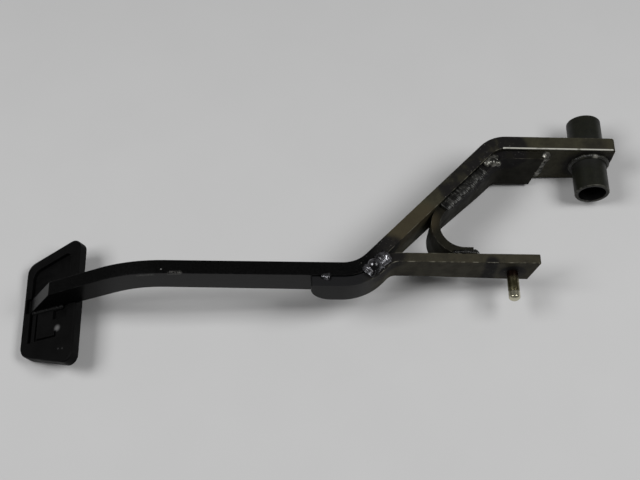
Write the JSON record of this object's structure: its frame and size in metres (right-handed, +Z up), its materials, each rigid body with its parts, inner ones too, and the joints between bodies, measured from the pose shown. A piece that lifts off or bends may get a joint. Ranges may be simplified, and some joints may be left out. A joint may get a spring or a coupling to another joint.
{
  "type": "foot brake pedal lever",
  "caption": "Welded flat-bar foot brake pedal lever with a rubber-faced pad, a pivot tube with spacer sleeve, a hooked brace strap and a pushrod pin arm.",
  "frame": {"origin": "centre of the pivot tube, on the pivot axis and on the middle plane of the bar at the pivot", "axes": "+Y along the pivot axis, away from the pushrod side; -X out to the pad; +Z up from the surface the lever lies on, the way the pad moves when it is pressed"},
  "size_m": [0.4255, 0.1823, 0.0665],
  "materials": {
    "arm_steel": "satin black paint over steel, thin and olive toward the pivot",
    "tube_steel": "dark oiled steel",
    "bush_plastic": "matte black nylon",
    "sleeve_steel": "dull turned steel",
    "strap_steel": "olive plated steel, dull",
    "rod_arm_steel": "olive plated steel, dull, black at the lap",
    "pin_plated": "yellow zinc plated steel",
    "pad_steel": "satin black paint",
    "pad_rubber": "matte black rubber",
    "weld": "dark weld with bright ripples",
    "weld_painted": "weld under gloss black paint"
  },
  "bodies": {
    "sleeve": {"pivot_sleeve": "sleeve_steel"},
    "lever": {"main_arm": "arm_steel", "pivot_tube": "tube_steel", "pivot_bush_near": "bush_plastic", "pivot_bush_far": "bush_plastic", "brace_strap": "strap_steel", "pushrod_arm": "rod_arm_steel", "pushrod_pin": "pin_plated", "pad_plate": "pad_steel", "pad_rubber": "pad_rubber", "weld_tube_near": "weld", "weld_tube_far": "weld", "weld_brace_seam": "weld", "weld_brace_bend": "weld", "weld_brace_end": "weld", "weld_brace_foot": "weld", "weld_lap_plug": "weld_painted", "weld_lap_tack": "weld_painted", "weld_pin_far": "weld", "weld_pad_near": "weld_painted", "weld_pad_far": "weld_painted"}
  },
  "joints": [
    {"name": "pedal_pivot", "type": "hinge", "parent": "sleeve", "child": "lever", "pos_m": [0, 0, 0], "axis": [0, 1, 0], "range_deg": [0, 20]}
  ]
}
